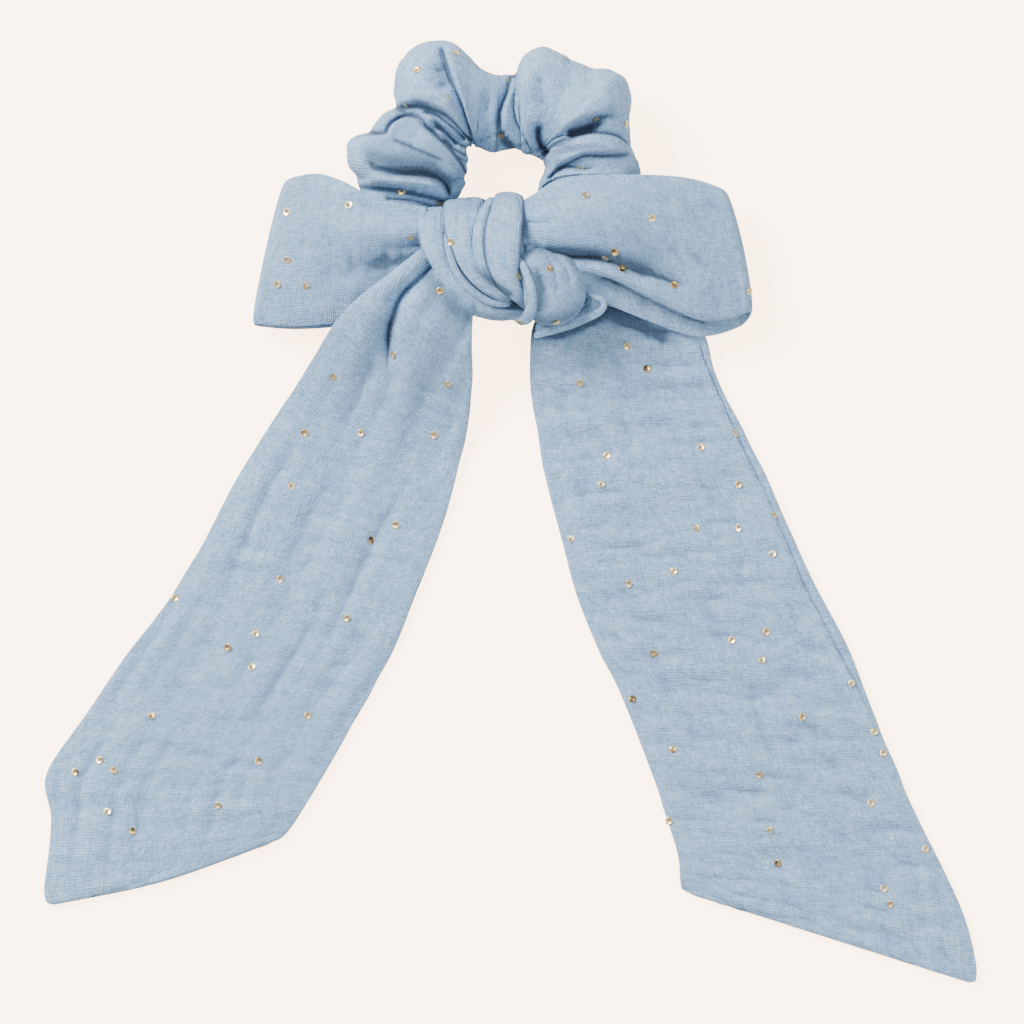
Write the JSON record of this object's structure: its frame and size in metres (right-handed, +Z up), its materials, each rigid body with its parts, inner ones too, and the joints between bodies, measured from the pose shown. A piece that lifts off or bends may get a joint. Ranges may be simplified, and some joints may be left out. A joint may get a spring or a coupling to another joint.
{
  "type": "hair scrunchie with bow",
  "caption": "Gathered gauze hair scrunchie over an elastic loop, with a sash tied round it in a bow with two long slanted tails and gold sequins.",
  "frame": {"origin": "middle of the bounding box, on the surface the scrunchie lies on", "axes": "+Z up out of that surface, out of the bow's front; +Y from the tails' ends towards the gathered ring; +X to the right seen from the front"},
  "size_m": [0.28, 0.2816, 0.0354],
  "materials": {
    "casing": "crinkled double gauze, matt",
    "elastic": "white woven elastic, matt",
    "thread": "blue sewing thread",
    "elastic_thread": "white sewing thread",
    "sash": "crinkled double gauze, matt",
    "sequin": "metallised gold film, shiny"
  },
  "bodies": {
    "ring": {"casing": "casing", "elastic_band": "elastic", "sequin_07": "sequin", "sequin_08": "sequin"},
    "ring_far": {"casing_closing_thread": "thread", "elastic_join_thread": "elastic_thread", "sequin_01": "sequin", "sequin_02": "sequin", "sequin_03": "sequin", "sequin_04": "sequin", "sequin_05": "sequin", "sequin_06": "sequin"},
    "bow": {"sash_knot_wrap": "sash", "sash_knot_band": "sash", "sash_knot_tuck": "sash", "sash_tail_root_right": "sash", "sequin_09": "sequin", "sequin_10": "sequin", "sequin_11": "sequin"},
    "loop_left": {"sash_loop_left": "sash", "sequin_12": "sequin", "sequin_13": "sequin", "sequin_14": "sequin", "sequin_15": "sequin", "sequin_16": "sequin"},
    "loop_right": {"sash_loop_right": "sash", "sequin_17": "sequin", "sequin_18": "sequin", "sequin_19": "sequin", "sequin_20": "sequin", "sequin_21": "sequin"},
    "tail_left": {"sash_tail_left": "sash", "sash_closing_thread": "thread", "sequin_22": "sequin", "sequin_23": "sequin", "sequin_24": "sequin", "sequin_25": "sequin", "sequin_26": "sequin", "sequin_27": "sequin", "sequin_28": "sequin", "sequin_29": "sequin", "sequin_30": "sequin", "sequin_31": "sequin", "sequin_32": "sequin", "sequin_33": "sequin"},
    "tail_right": {"sash_tail_right": "sash", "sequin_34": "sequin", "sequin_35": "sequin", "sequin_36": "sequin", "sequin_37": "sequin", "sequin_38": "sequin", "sequin_39": "sequin", "sequin_40": "sequin", "sequin_41": "sequin", "sequin_42": "sequin", "sequin_43": "sequin", "sequin_44": "sequin", "sequin_45": "sequin"}
  },
  "joints": [
    {"name": "ring_stretch", "type": "slide", "parent": "ring", "child": "ring_far", "axis": [0, 1, 0], "range_m": [0, 0.055], "stiffness_N_per_m": 60, "deforming": ["casing", "elastic_band"]},
    {"name": "bow_roll", "type": "hinge", "parent": "ring", "child": "bow", "pos_m": [0, 0.0725, 0.0142], "axis": [1, 0, 0], "range_deg": [0, 60]},
    {"name": "loop_left_swing", "type": "hinge", "parent": "bow", "child": "loop_left", "pos_m": [-0.0284, 0.08, 0.0233], "axis": [0, 0, 1], "range_deg": [-10, 4]},
    {"name": "loop_right_lift", "type": "hinge", "parent": "bow", "child": "loop_right", "pos_m": [0.0172, 0.0796, 0.0282], "axis": [0.5839, -0.8118, 0], "range_deg": [0, 75]},
    {"name": "tail_left_lift", "type": "hinge", "parent": "bow", "child": "tail_left", "pos_m": [-0.0197, 0.0682, 0.0292], "axis": [-0.6532, 0.7572, 0], "range_deg": [0, 80]},
    {"name": "tail_right_lift", "type": "hinge", "parent": "bow", "child": "tail_right", "pos_m": [0.032, 0.0514, 0.0038], "axis": [-1, 0, 0], "range_deg": [0, 85]}
  ]
}
